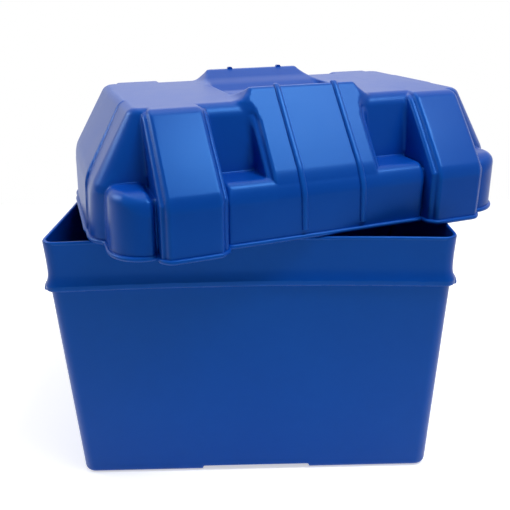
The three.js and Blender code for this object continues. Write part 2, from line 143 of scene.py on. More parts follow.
# %% Lid: skirt
BLOCK_FACE = (148.3, 0.0), (147.0, SKIRT_HEIGHT)
BLOCK_END = 103.4
BLOCK_EDGE, BLOCK_TOP_EDGE = 3.5, 4.0
BROW_FACE = (148.0, 48.5), (82.0, 129.5)
BLOCK_BROW_EDGE, CORNER_BROW_EDGE = 5.0, 6.0
CORNER_SIDE = (147.6, 0.0), (146.0, SKIRT_HEIGHT)
CORNER_END = (205.9, 0.0), (204.3, SKIRT_HEIGHT)
CORNER_START = 168.6
CORNER_RADIUS, CORNER_EDGE, CORNER_TOP_EDGE = 33.0, 4.0, 10.0
GROOVE_SIDE, GROOVE_END, GROOVE_TOP = 142.0, 199.0, 54.0
GROOVE_RADIUS, GROOVE_EDGE, GROOVE_FILLET = 26.0, 4.0, 1.5


def low_skirt(X, Y, z):
    """A block below each band, a block at each corner, and a narrow groove beside each block."""
    brow = slope(Y, z, *BROW_FACE)
    middle = both(slope(Y, z, *BLOCK_FACE), X - BLOCK_END, BLOCK_EDGE)
    middle = both(both(middle, brow, BLOCK_BROW_EDGE), z - SKIRT_HEIGHT, BLOCK_TOP_EDGE)
    corner = both(slope(Y, z, *CORNER_SIDE), slope(X, z, *CORNER_END), CORNER_RADIUS)
    corner = both(corner, CORNER_START - X, CORNER_EDGE)
    corner = both(both(corner, brow, CORNER_BROW_EDGE), z - SKIRT_HEIGHT, CORNER_TOP_EDGE)
    core = both(Y - GROOVE_SIDE, X - GROOVE_END, GROOVE_RADIUS)
    core = both(core, z - GROOVE_TOP, GROOVE_EDGE)
    return either(np.minimum(middle, corner), core, GROOVE_FILLET)


print("a middle block is", 2 * BLOCK_END, "mm long")


# %% Lid: crown and end pads
END_KNEE = (216.0, 55.0)
END_UPRIGHT = (219.2, 0.0), END_KNEE
END_SLOPE = END_KNEE, (176.5, CROWN_HEIGHT)
SIDE_REACH = 104.8
SIDE_SLOPE = (SIDE_REACH, SKIRT_HEIGHT), (90.0, CROWN_HEIGHT)
TUCK = 5.0
TUCK_REACHES, TUCK_HEIGHTS = (196.0, 208.0), (20.0, 62.0)
CROWN_FOOT_RADIUS, CROWN_HEAD_RADIUS = 28.0, 12.0
PAD_KNEE = (217.8, 57.0)
PAD_UPRIGHT = (220.8, 0.0), PAD_KNEE
PAD_SLOPE = PAD_KNEE, (177.7, CROWN_HEIGHT)
PAD_HALF = 58.0
PAD_SIDE = (PAD_HALF, 54.0), (39.0, CROWN_HEIGHT)
KNEE_EDGE, PAD_EDGE, PAD_FILLET = 4.0, 3.0, 1.0
CROWN_EDGE, CROWN_END_EDGE = 12.0, 5.0
CROWN_EDGE_REACHES = (140.0, 172.0)


def crown(X, Y, z):
    """The crown with its sloping ends, a pad down each end, and its flat top."""
    end = both(slope(X, z, *END_UPRIGHT), slope(X, z, *END_SLOPE), KNEE_EDGE)
    tucked = TUCK * ramp(X, *TUCK_REACHES) * (1 - ramp(z, *TUCK_HEIGHTS))
    side = both(Y - SIDE_REACH + tucked, slope(Y, z, *SIDE_SLOPE), KNEE_EDGE)
    narrowing = (CROWN_HEAD_RADIUS - CROWN_FOOT_RADIUS) * share_between(z, 0, CROWN_HEIGHT)
    walls = both(end, side, CROWN_FOOT_RADIUS + narrowing)
    pad_end = both(slope(X, z, *PAD_UPRIGHT), slope(X, z, *PAD_SLOPE), KNEE_EDGE)
    pad_side = both(Y - PAD_HALF, slope(Y, z, *PAD_SIDE), PAD_EDGE)
    walls = either(walls, both(pad_end, pad_side, PAD_EDGE), PAD_FILLET)
    top_edge = CROWN_EDGE + (CROWN_END_EDGE - CROWN_EDGE) * ramp(X, *CROWN_EDGE_REACHES)
    return both(walls, z - CROWN_HEIGHT, top_edge)


print("the crown is", 2 * END_UPRIGHT[0][0], "mm long at the rim and", 2 * END_SLOPE[1][0], "mm on top")


# %% Lid: buttresses
BUTTRESS_INNER, BUTTRESS_OUTER = 109.7, 161.8
INNER_SPREAD, OUTER_SPREAD = 2.5, 1.5
BUTTRESS_KNEE = (162.2, 54.0)
BUTTRESS_UPRIGHT = (163.5, 0.0), BUTTRESS_KNEE
BUTTRESS_SLOPE = BUTTRESS_KNEE, (99.0, CROWN_HEIGHT)
BUTTRESS_HEIGHTS = (BUTTRESS_KNEE[1], 124.0)
BULGE = 0.8
TIER_INNER, TIER_OUTER, TIER_DEPTH, TIER_HEIGHT = 4.6, 4.2, 4.5, 120.5
BUTTRESS_KNEE_EDGE, BUTTRESS_EDGE, BUTTRESS_TOP_EDGE = 5.0, 4.5, 5.0
TIER_EDGE, TIER_FILLET = 3.5, 1.2


def buttress(X, Y, z):
    """A sloped pad that bulges a little at mid height, with a lower tier along both flanks."""
    share = share_between(z, *BUTTRESS_HEIGHTS)
    bulge = BULGE * share * (1 - share) * 4
    face = slope(Y, z, *BUTTRESS_SLOPE) - bulge
    face = both(slope(Y, z, *BUTTRESS_UPRIGHT), face, BUTTRESS_KNEE_EDGE)
    inner = BUTTRESS_INNER + INNER_SPREAD * share - X
    outer = X - BUTTRESS_OUTER - OUTER_SPREAD * share
    pad = both(np.maximum(inner, outer), face, BUTTRESS_EDGE)
    pad = both(pad, z - CROWN_HEIGHT, BUTTRESS_TOP_EDGE)
    tier = both(np.maximum(inner - TIER_INNER, outer - TIER_OUTER), face + TIER_DEPTH, TIER_EDGE)
    tier = both(tier, z - TIER_HEIGHT, BUTTRESS_TOP_EDGE)
    return either(pad, tier, TIER_FILLET)


print("a buttress is", round(BUTTRESS_OUTER - BUTTRESS_INNER, 1), "mm wide at its foot")


# %% Lid: valley
VALLEY_HALF = 66.0
VALLEY_SIDE = (-12.0, VALLEY_HEIGHT), (-78.0, CREST_HEIGHT)
VALLEY_BED_FILLET, VALLEY_CORNER, VALLEY_EDGE = 8.0, 5.0, 2.0


def valley_floor(Y, z):
    """The two slopes that fall from the crests to the middle of the lid."""
    return either(z - VALLEY_HEIGHT, slope(-Y, z, *VALLEY_SIDE), VALLEY_BED_FILLET)


def valley(X, Y, z):
    """The air above those slopes, which is cut out of the crown."""
    return both(X - VALLEY_HALF, -valley_floor(Y, z), VALLEY_CORNER)


print("the valley lies", round(CREST_HEIGHT - VALLEY_HEIGHT, 1), "mm below the crests")


# %% Lid: bands
BAND_MIDDLE, BAND_HALF = -0.8, 55.0
BAND_UPRIGHT = (148.3, 0.0), (147.0, 60.0)
BAND_SLOPE = (147.4, 53.0), (80.0, CREST_HEIGHT)
BAND_KNEE_EDGE, CREST_EDGE, BAND_EDGE, BAND_TOP_EDGE = 11.0, 1.5, 4.0, 2.5
FLARE_HALF, FLARE_LOSS, FLARE_END_LOSS = 71.0, 4.0, 12.0
FLARE_REACHES, FLARE_END_REACHES = (10.0, 96.0), (84.0, 98.0)
FLARE_FLOOR, FLARE_EDGE, FLARE_FILLET = 108.0, 8.0, 5.0
FLARE_TILT_SHARE = 0.7
STEP_WIDTH, STEP_DEPTH, STEP_HEIGHT = 5.0, 4.5, 115.0
STEP_EDGE, STEP_TOP_EDGE, STEP_FILLET = 3.5, 6.0, 2.0


def bands(X, Y, z):
    """The strap's seat: a sloped face and a crest that flares out on to the crown."""
    face = both(slope(Y, z, *BAND_UPRIGHT), slope(Y, z, *BAND_SLOPE), BAND_KNEE_EDGE)
    top = both(valley_floor(Y, z), z - CREST_HEIGHT, CREST_EDGE)
    foot = FLARE_HALF - FLARE_LOSS * share_between(Y, *FLARE_REACHES)
    foot = foot - FLARE_END_LOSS * ramp(Y, *FLARE_END_REACHES)
    half = foot + (BAND_HALF - foot) * share_between(z, CROWN_HEIGHT, CREST_HEIGHT)
    flare = both((X - half) * FLARE_TILT_SHARE, FLARE_FLOOR - z, FLARE_EDGE)
    flank = either(X - BAND_HALF, flare, FLARE_FILLET)
    band = both(both(flank, face, BAND_EDGE), top, BAND_TOP_EDGE)
    step = both(X - BAND_HALF - STEP_WIDTH, face + STEP_DEPTH, STEP_EDGE)
    step = both(step, z - STEP_HEIGHT, STEP_TOP_EDGE)
    return either(band, step, STEP_FILLET)


print("a band is", 2 * BAND_HALF, "mm wide")


# %% Lid: all together
LEAN, LEAN_LENGTH = 4.0, 180.0
SHELF_FILLET, SEAM_FILLET = 1.2, 0.2
POCKET_FILLET, BAND_FILLET = 4.0, 7.0
POCKET_FOOT, POCKET_HEAD = (58.0, 66.0), (108.0, 120.0)
BAND_FOOT, BAND_HEAD = (58.0, 68.0), (104.0, 118.0)
BAND_FILLET_LOSS_SHARE = 0.3


def lid_field(x, y, z):
    """Distance outside the lid's outer skin. Its fillets grow only along the upper corners."""
    lean = LEAN * share_between(z, 0, CROWN_HEIGHT) * np.clip(0.5 - y / LEAN_LENGTH, 0, 1)
    X, Y = np.abs(x - lean), np.abs(y)
    pocket_fillet = POCKET_FILLET * ramp(z, *POCKET_FOOT) * (1 - ramp(z, *POCKET_HEAD))
    upper = either(crown(X, Y, z), buttress(X, Y, z), SEAM_FILLET + pocket_fillet)
    upper = both(upper, -valley(X, Y, z), VALLEY_EDGE)
    body = either(low_skirt(X, Y, z), upper, SHELF_FILLET)
    band_fillet = BAND_FILLET * ramp(z, *BAND_FOOT) * (1 - BAND_FILLET_LOSS_SHARE * ramp(z, *BAND_HEAD))
    return either(body, bands(np.abs(x - BAND_MIDDLE), Y, z), SEAM_FILLET + band_fillet)


bed_depth = float(lid_field(0.0, 0.0, CROWN_HEIGHT))
print("the crown stands", round(bed_depth, 1), "mm above the valley's bed")

# %% [markdown]
# ## From a formula to a skin
#
# A grid of sample points is laid over the form. Wherever the sign of the distance changes
# inside a cell, the skin passes through it, and the cell gets one vertex at the mean of the
# crossings. Neighbouring cells are joined by four-sided faces. The vertices are then pushed
# along the gradient until they lie on the skin exactly. The grid may be finer where there is
# more to show, which keeps long plain walls light.

# %% The skin of a form
def gradient(field, points, step=0.1):
    """The direction in which the distance grows, at each point."""
    parts = []
    for axis in range(3):
        shift = np.zeros(3)
        shift[axis] = step
        ahead, behind = points + shift, points - shift
        parts.append((field(*ahead.T) - field(*behind.T)) / (2 * step))
    return np.stack(parts, axis=1)


def settle(field, points, flat, rounds=5, longest=1.5, least=0.05, tiny=1e-9):
    """Pushes points on to the skin. Where flat is true a point keeps its height."""
    points = points.copy()
    for _ in range(rounds):
        uphill = gradient(field, points)
        uphill[flat, 2] = 0
        square = np.maximum((uphill ** 2).sum(axis=1), least)
        move = uphill * (field(*points.T) / square)[:, None]
        length = np.linalg.norm(move, axis=1, keepdims=True)
        points -= move * np.minimum(1, longest / np.maximum(length, tiny))
    return points


def crossings_along(axis, values, grid):
    """Where the grid lines along one axis pass through the skin."""
    first, second = [slice(None)] * 3, [slice(None)] * 3
    first[axis], second[axis] = slice(None, -1), slice(1, None)
    a, b = values[tuple(first)], values[tuple(second)]
    at = np.argwhere((a < 0) != (b < 0))
    where = tuple(at.T)
    share = a[where] / (a[where] - b[where])
    spot = np.stack([grid[k][at[:, k]] for k in range(3)], axis=1).astype(float)
    spot[:, axis] += share * np.diff(grid[axis])[at[:, axis]]
    return at, spot, a[where] < 0


def shifted(at, sides, steps):
    """Cells beside the grid lines, moved by whole steps along two axes."""
    cell = at.copy()
    for side, step in zip(sides, steps):
        cell[:, side] += step
    return cell


def skin(field, xs, ys, zs, open_at):
    """Vertices and four-sided faces of the skin, which ends at a layer of cells, at a height."""
    grid = (xs, ys, zs)
    values = field(*np.meshgrid(xs, ys, zs, indexing="ij"))
    cells = tuple(n - 1 for n in values.shape)
    total, count = np.zeros(cells + (3,)), np.zeros(cells)
    found = [crossings_along(axis, values, grid) for axis in range(3)]
    for axis, (at, spot, _) in enumerate(found):
        sides = [k for k in range(3) if k != axis]
        for steps in ((0, 0), (0, -1), (-1, 0), (-1, -1)):
            cell = shifted(at, sides, steps)
            ok = ((cell >= 0) & (cell < cells)).all(axis=1)
            np.add.at(total, tuple(cell[ok].T), spot[ok])
            np.add.at(count, tuple(cell[ok].T), 1)
    used = count > 0
    number = np.full(cells, -1)
    number[used] = np.arange(used.sum())
    points = total[used] / count[used][:, None]
    faces = []
    for axis, (at, _, starts_inside) in enumerate(found):
        sides = (axis + 1) % 3, (axis + 2) % 3
        ring = [shifted(at, sides, steps) for steps in ((-1, -1), (0, -1), (0, 0), (-1, 0))]
        ok = np.all([((cell >= 0) & (cell < cells)).all(axis=1) for cell in ring], axis=0)
        quads = np.stack([number[tuple(cell[ok].T)] for cell in ring], axis=1)
        keep = starts_inside[ok]
        faces.append(quads[keep])
        faces.append(quads[~keep][:, ::-1])
    layer, height = open_at
    edge = np.zeros(cells, bool)
    edge[:, :, layer] = True
    flat = edge[used]
    points[flat, 2] = height
    return settle(field, points, flat), np.concatenate(faces)


def even(low, high, step):
    """Grid lines from low to high, about a step apart."""
    return np.linspace(low, high, int(round((high - low) / step)) + 1)


# %% [markdown]
# ## A thin wall
#
# The lid is a shell, so it needs an inside. The inside is the same form moved inwards by the
# wall, meshed on a coarser grid because it is plain and rarely seen. The two skins end at the
# rim, where a strip of triangles laces one edge to the other and closes the shell.

# %% Closing a shell at its rim
def open_loop(faces):
    """The vertices round the open edge of a skin, in order."""
    edges = np.concatenate([faces[:, [k, (k + 1) % 4]] for k in range(4)])
    known = {(int(a), int(b)) for a, b in edges}
    after = {a: b for a, b in known if (b, a) not in known}
    start = min(after)
    loop = [start]
    while after[loop[-1]] != start:
        loop.append(after[loop[-1]])
    return loop


def lace(points, outer, inner):
    """Triangles between two loops that run side by side in opposite directions."""
    inner = inner[::-1]
    nearest = np.linalg.norm(points[inner] - points[outer[0]], axis=1).argmin()
    inner = inner[nearest:] + inner[:nearest]
    triangles, i, j = [], 0, 0
    while i < len(outer) or j < len(inner):
        a, b = outer[i % len(outer)], inner[j % len(inner)]
        next_a, next_b = outer[(i + 1) % len(outer)], inner[(j + 1) % len(inner)]
        along_outer = np.linalg.norm(points[next_a] - points[b])
        along_inner = np.linalg.norm(points[next_b] - points[a])
        if j >= len(inner) or (i < len(outer) and along_outer < along_inner):
            triangles.append((a, b, next_a))
            i += 1
        else:
            triangles.append((a, b, next_b))
            j += 1
    return triangles


# %% How sharp an edge is
WEAR_GAIN = 3.0


def edge_sharpness(field, points, reach=2.5):
    """0 on flat faces, towards 1 on tight outer edges: the places that rub and scuff first."""
    bend = -6 * field(*points.T)
    for axis in range(3):
        shift = np.zeros(3)
        shift[axis] = reach
        bend = bend + field(*(points + shift).T) + field(*(points - shift).T)
    return np.clip(bend / reach ** 2 * WEAR_GAIN, 0, 1)


# %% A moulding as a Blender object
def moulding(name, fields, grids, openings, place):
    """Outer and inner skin of a shell, laced together. Also gives the outer rim as a loop."""
    outer, outer_faces = skin(fields[0], *grids[0], openings[0])
    inner, inner_faces = skin(fields[1], *grids[1], openings[1])
    inner_faces = inner_faces[:, ::-1] + len(outer)
    points = np.concatenate([outer, inner])
    strip = lace(points, open_loop(outer_faces), open_loop(inner_faces))
    normals = np.concatenate([gradient(fields[0], outer), -gradient(fields[1], inner)])
    normals /= np.linalg.norm(normals, axis=1, keepdims=True)
    wear_and_highlight = np.concatenate([edge_sharpness(fields[0], outer), np.zeros(len(inner))])
    mesh = bpy.data.meshes.new(name)
    faces = outer_faces.tolist() + inner_faces.tolist() + [list(t) for t in strip]
    mesh.from_pydata(placed(points, place).tolist(), [], faces)
    mesh.update()
    mesh.shade_smooth()
    turn = np.array(place.to_3x3())
    mesh.normals_split_custom_set_from_vertices((normals @ turn.T).tolist())
    mesh.attributes.new("edge_wear_and_highlight", "FLOAT", "POINT").data.foreach_set("value", wear_and_highlight)
    piece = bpy.data.objects.new(name, mesh)
    bpy.context.scene.collection.objects.link(piece)
    print(name, "has", 2 * (len(outer_faces) + len(inner_faces)) + len(strip), "triangles")
    return piece, outer[open_loop(outer_faces)]


# %% [markdown]
# ## The lid
#
# The outer skin gets a 2.2 mm grid, which resolves its smallest fillets, and the inside a
# 5 mm one.

# %% Build the lid
LID_WALL = 3.0
FINE, COARSE = ((2.2, 5.0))
LID_GRID_X, LID_GRID_Y, LID_GRID_Z = 228.0, 168.0, 136.0


def lid_inside(x, y, z):
    """Distance outside the lid's inner skin, one wall further in."""
    return lid_field(x, y, z) + LID_WALL


def lid_grid(step):
    """Even grid lines, with the rim plane in the middle of the lowest layer of cells."""
    half_x, half_y = math.ceil(LID_GRID_X / step) * step, math.ceil(LID_GRID_Y / step) * step
    heights = even(-step / 2, LID_GRID_Z + step, step)
    return even(-half_x, half_x, step), even(-half_y, half_y, step), heights


lid, lid_rim = moulding("lid_shell", (lid_field, lid_inside), (lid_grid(FINE), lid_grid(COARSE)),
                        ((0, 0.0), (0, 0.0)), lid_place)

# %% [markdown]
# ## The tub's form
#
# The tub tapers towards its foot so that it leaves the mould. Its upper part is a collar that
# the lid slips over, standing on a ledge that flares out softly above and steps in sharply
# below. The long walls draw in a little at mid length, as long thin walls do when they cool.
# A lip runs along each end at the ledge, and a shallow channel for the strap crosses the
# underside and leaves two feet.

# %% Tub: walls and collar
LEDGE = 233.4
TUB_WALL, FLOOR_WALL = 3.2, 3.4
FOOT_HALF_X, FOOT_HALF_Y, FOOT_EDGE = 195.25, 134.6, 5.0
SPREAD_X, SPREAD_Y, SPREAD_HEIGHT = 5.35, 7.1, 233.0
MOUTH_HALF_X, MOUTH_HALF_Y = 201.0, 142.1
BODY_RADIUS, COLLAR_RADIUS = 14.0, 13.0
DRAW_SIDES, DRAW_ENDS, DRAW_HEIGHT = 8.0, 1.5, 234.5
DRAW_HALF_X, DRAW_HALF_Y = 201.5, 142.6
SWELL, SWELL_FOOT, SWELL_HEAD = 2.8, 238.6, 257.0
MOUTH_FLARE, MOUTH_FLARE_FOOT = 0.5, 262.0
COLLAR_EDGE, LEDGE_FILLET = 1.3, 0.8


def tub_plan(X, Y, z, half_x, half_y, radius):
    """A rounded rectangle whose walls draw in at mid length, more so further up."""
    share = share_between(z, 0, DRAW_HEIGHT)
    draw_y = DRAW_SIDES * share * np.clip(1 - (X / DRAW_HALF_X) ** 2, 0, 1)
    draw_x = DRAW_ENDS * share * np.clip(1 - (Y / DRAW_HALF_Y) ** 2, 0, 1)
    return both(X - half_x + draw_x, Y - half_y + draw_y, radius)


def tub_body(X, Y, z):
    """The tapered walls with the collar on top."""
    up = share_between(z, 0, SPREAD_HEIGHT)
    body = tub_plan(X, Y, z, FOOT_HALF_X + SPREAD_X * up, FOOT_HALF_Y + SPREAD_Y * up, BODY_RADIUS)
    swell = np.clip((SWELL_HEAD - np.maximum(z, SWELL_FOOT)) / (SWELL_HEAD - SWELL_FOOT), 0, 1)
    flare = MOUTH_FLARE * ramp(z, MOUTH_FLARE_FOOT, TUB_HEIGHT) + SWELL * swell ** 3
    collar = tub_plan(X, Y, z, MOUTH_HALF_X + flare, MOUTH_HALF_Y + flare, COLLAR_RADIUS)
    return either(body, both(collar, LEDGE - z, COLLAR_EDGE), LEDGE_FILLET)


print("the tub grows from", 2 * FOOT_HALF_X, "mm at the foot to", 2 * MOUTH_HALF_X, "mm at the mouth")


# %% Tub: lips and strap channel
LIP_FACE = (209.4, 233.0), (201.0, 244.0)
LIP_REACH, LIP_HALF, LIP_DROP = 208.2, 131.6, 5.0
LIP_EDGE, LIP_UNDER_EDGE, LIP_END_EDGE, LIP_FILLET = 3.5, 2.5, 5.0, 1.5
CHANNEL_HALF, CHANNEL_HEIGHT, CHANNEL_CORNER, CHANNEL_EDGE = 60.0, 5.4, 2.0, 1.5


def tub_field(x, y, z):
    """Distance outside the tub's outer skin."""
    X, Y = np.abs(x), np.abs(y)
    lip = both(slope(X, z, *LIP_FACE), X - LIP_REACH, LIP_EDGE)
    lip = both(both(lip, LEDGE - LIP_DROP - z, LIP_UNDER_EDGE), Y - LIP_HALF, LIP_END_EDGE)
    shell = both(either(tub_body(X, Y, z), lip, LIP_FILLET), -z, FOOT_EDGE)
    channel = both(X - CHANNEL_HALF, z - CHANNEL_HEIGHT, CHANNEL_CORNER)
    return both(shell, -channel, CHANNEL_EDGE)


print("the strap channel is", 2 * CHANNEL_HALF, "mm wide and", CHANNEL_HEIGHT, "mm high")


# %% Tub: inside
COLLAR_GAIN, COLLAR_GAIN_HEIGHTS = 0.6, (235.0, 250.0)
INNER_RADIUS, INNER_FLOOR_RADIUS = 11.0, 5.0
CHANNEL_STEP_REACHES = (61.5, 64.5)


def tub_inside(x, y, z):
    """Distance outside the tub's inner skin. The floor steps up over the strap channel."""
    X, Y = np.abs(x), np.abs(y)
    up = share_between(z, 0, SPREAD_HEIGHT)
    over = COLLAR_GAIN * ramp(z, *COLLAR_GAIN_HEIGHTS) - TUB_WALL
    half_x, half_y = FOOT_HALF_X + SPREAD_X * up + over, FOOT_HALF_Y + SPREAD_Y * up + over
    walls = tub_plan(X, Y, z, half_x, half_y, INNER_RADIUS)
    floor_height = FLOOR_WALL + CHANNEL_HEIGHT * (1 - ramp(X, *CHANNEL_STEP_REACHES))
    return both(walls, floor_height - z, INNER_FLOOR_RADIUS)


print("the tub's wall is", TUB_WALL, "mm, its floor", FLOOR_WALL, "mm")

# %% Build the tub
X_BORDERS = 0.0, 54.0, 66.0, 178.0, 211.3
Y_BORDERS = 0.0, 122.0, 147.5
Z_BORDERS = -2.0, 12.0, 224.0, 250.0
GRID_TOP, COLLAR_STEP = 282.5, 5.0
LEDGE_STEP_SHARE = 0.8
RIM_DROP = 1.0


def graded(borders, steps):
    """Grid lines whose spacing changes at each border."""
    runs = [even(*run) for run in zip(borders, borders[1:], steps)]
    return np.unique(np.concatenate(runs).round(4))


def mirrored(half):
    """The same grid lines on both sides of zero."""
    return np.unique(np.concatenate([-half, half]).round(4))


def tub_grid(fine, coarse):
    """Fine cells at the channel, the lips, the corners, the foot and the ledge only."""
    xs = mirrored(graded(X_BORDERS, (coarse, fine, coarse, fine)))
    ys = mirrored(graded(Y_BORDERS, (coarse, fine)))
    zs = graded((*Z_BORDERS, GRID_TOP), (fine, coarse, fine * LEDGE_STEP_SHARE, COLLAR_STEP))
    return xs, ys, np.append(zs, GRID_TOP + COLLAR_STEP)


def top_opening(grid):
    """The highest layer of cells, and the height at which the skin ends inside the rim bead."""
    return len(grid[2]) - 2, TUB_HEIGHT - RIM_DROP


tub_grids = tub_grid(fine=1.7, coarse=9.0), tub_grid(fine=3.2, coarse=14.0)
tub, tub_rim = moulding("tub_shell", (tub_field, tub_inside), tub_grids,
                        [top_opening(grid) for grid in tub_grids], tub_place)

# %% [markdown]
# ## One material for both mouldings
#
# Satin polypropylene is one even blue, but never a flat one. Pigment drifts a little over a
# hand's breadth, the mould leaves a very fine grain, and outer edges rub lighter and smoother.
# The beads, guides and ribs are made paler all over through the same edge input, which is a
# painted highlight along them.
# Each of these is a node group with its own inputs, so that every piece can have its own dose.

# %% Node group helpers
def group(name, inputs, outputs):
    """An empty shader group with its sockets, and the nodes that stand for them."""
    tree = bpy.data.node_groups.new(name, "ShaderNodeTree")
    for label, kind, value in inputs:
        tree.interface.new_socket(label, in_out="INPUT", socket_type=kind).default_value = value
    for label, kind in outputs:
        tree.interface.new_socket(label, in_out="OUTPUT", socket_type=kind)
    return tree, tree.nodes.new("NodeGroupInput"), tree.nodes.new("NodeGroupOutput")


def feed(tree, socket, value):
    """Sets a socket to a number, or links it to another node's output."""
    if isinstance(value, (int, float)):
        socket.default_value = value
    else:
        tree.links.new(value, socket)


def math_node(tree, operation, a, b, clamp=False):
    """One sum, product or the like of two numbers or sockets."""
    node = tree.nodes.new("ShaderNodeMath")
    node.operation = operation
    node.use_clamp = clamp
    feed(tree, node.inputs[0], a)
    feed(tree, node.inputs[1], b)
    return node.outputs[0]


def noise(tree, vector, scale, detail, roughness=0.5):
    """A noise texture's grey value."""
    node = tree.nodes.new("ShaderNodeTexNoise")
    tree.links.new(vector, node.inputs["Vector"])
    feed(tree, node.inputs["Scale"], scale)
    node.inputs["Detail"].default_value = detail
    node.inputs["Roughness"].default_value = roughness
    return node.outputs["Fac"]


# %% Pigment drift
DRIFT_SCALE, DRIFT_FINER = 9.0, 7.0
DRIFT_WIDE_SHARE, DRIFT_NARROW_SHARE = 0.7, 0.3
drift, drift_in, drift_out = group(
    "pigment drift",
    [("Vector", "NodeSocketVector", (0, 0, 0)), ("Scale", "NodeSocketFloat", DRIFT_SCALE)],
    [("Amount", "NodeSocketFloat")])
wide = noise(drift, drift_in.outputs["Vector"], drift_in.outputs["Scale"], detail=2)
finer = math_node(drift, "MULTIPLY", drift_in.outputs["Scale"], DRIFT_FINER)
narrow = noise(drift, drift_in.outputs["Vector"], finer, detail=3)
wide = math_node(drift, "MULTIPLY", wide, DRIFT_WIDE_SHARE)
narrow = math_node(drift, "MULTIPLY", narrow, DRIFT_NARROW_SHARE)
drift.links.new(math_node(drift, "ADD", wide, narrow), drift_out.inputs["Amount"])

# %% Mould grain
GRAIN_SCALE, GRAIN_ROUGHNESS = 900.0, 0.6
SWAY_SCALE_SHARE, SWAY_WEIGHT = 0.03, 1.5
grain, grain_in, grain_out = group(
    "mould grain",
    [("Vector", "NodeSocketVector", (0, 0, 0)), ("Scale", "NodeSocketFloat", GRAIN_SCALE)],
    [("Height", "NodeSocketFloat")])
grain_scale = grain_in.outputs["Scale"]
pits = noise(grain, grain_in.outputs["Vector"], grain_scale, detail=2, roughness=GRAIN_ROUGHNESS)
wider = math_node(grain, "MULTIPLY", grain_scale, SWAY_SCALE_SHARE)
sway = noise(grain, grain_in.outputs["Vector"], wider, detail=1)
sway = math_node(grain, "MULTIPLY", sway, SWAY_WEIGHT)
grain.links.new(math_node(grain, "ADD", pits, sway), grain_out.inputs["Height"])

# %% Scuffs, with the bars' painted highlight
STREAK_SCALES, STREAK_TURN = (14, 60, 120), (0.3, 0.2, 0.5)
STREAK_ROUGHNESS, STREAK_START, STREAK_GAIN = 0.65, 0.64, 6.0
PATCH_SCALE, PATCH_ROUGHNESS, PATCH_BASE = 35.0, 0.6, 0.1
scuffs_and_highlight, scuff_in, scuff_out = group(
    "scuffs and bar highlight",
    [("Vector", "NodeSocketVector", (0, 0, 0)), ("Edge", "NodeSocketFloat", 0.0)],
    [("Amount", "NodeSocketFloat"), ("Edge Rub and Highlight", "NodeSocketFloat")])
stretch = scuffs_and_highlight.nodes.new("ShaderNodeMapping")
stretch.inputs["Scale"].default_value = STREAK_SCALES
stretch.inputs["Rotation"].default_value = STREAK_TURN
scuffs_and_highlight.links.new(scuff_in.outputs["Vector"], stretch.inputs["Vector"])
streaks = noise(scuffs_and_highlight, stretch.outputs["Vector"], 1.0, detail=6, roughness=STREAK_ROUGHNESS)
thin = math_node(scuffs_and_highlight, "SUBTRACT", streaks, STREAK_START, True)
thin = math_node(scuffs_and_highlight, "MULTIPLY", thin, STREAK_GAIN, True)
scuffs_and_highlight.links.new(thin, scuff_out.inputs["Amount"])
# On the shells the edge input is rubbing; on the beads, guides and ribs it is a painted highlight. Noise
# patches break it up.
patch = noise(scuffs_and_highlight, scuff_in.outputs["Vector"], PATCH_SCALE, detail=4, roughness=PATCH_ROUGHNESS)
patch = math_node(scuffs_and_highlight, "ADD", patch, PATCH_BASE)
rub_and_highlight = math_node(scuffs_and_highlight, "MULTIPLY", scuff_in.outputs["Edge"], patch, True)
scuffs_and_highlight.links.new(rub_and_highlight, scuff_out.inputs["Edge Rub and Highlight"])
print("shader groups:", drift.name, grain.name, scuffs_and_highlight.name, sep=" | ")

# %% [markdown]
# ## The polypropylene
#
# The colour runs between a deep and a pale blue. How far it runs is the sum of the pigment's
# drift, the rubbed edges and the scratches, and the same three change the roughness. On the
# beads, guides and ribs the rubbed-edge share is a painted highlight over the whole bar. The
# shine is tinted blue, because on a dyed plastic with a fine grain most of what comes back
# has passed through the dye.

# %% The polypropylene
DEEP_BLUE, PALE_BLUE = (0.0, 0.050, 0.36), (0.004, 0.105, 0.53)
EDGE_PALER, SCRATCH_PALER = 0.55, 0.12
DRIFT_BASE, DRIFT_GAIN = 0.3, 0.45
BASE_ROUGHNESS, DRIFT_ROUGHER = 0.27, 0.12
SCRATCH_ROUGHER, EDGE_SMOOTHER = 0.10, 0.06
GRAIN_STRENGTH, GRAIN_DEPTH = 0.12, 0.0004
PLASTIC_IOR, SHINE, SHINE_TINT = 1.49, 0.6, (0.10, 0.42, 1, 1)


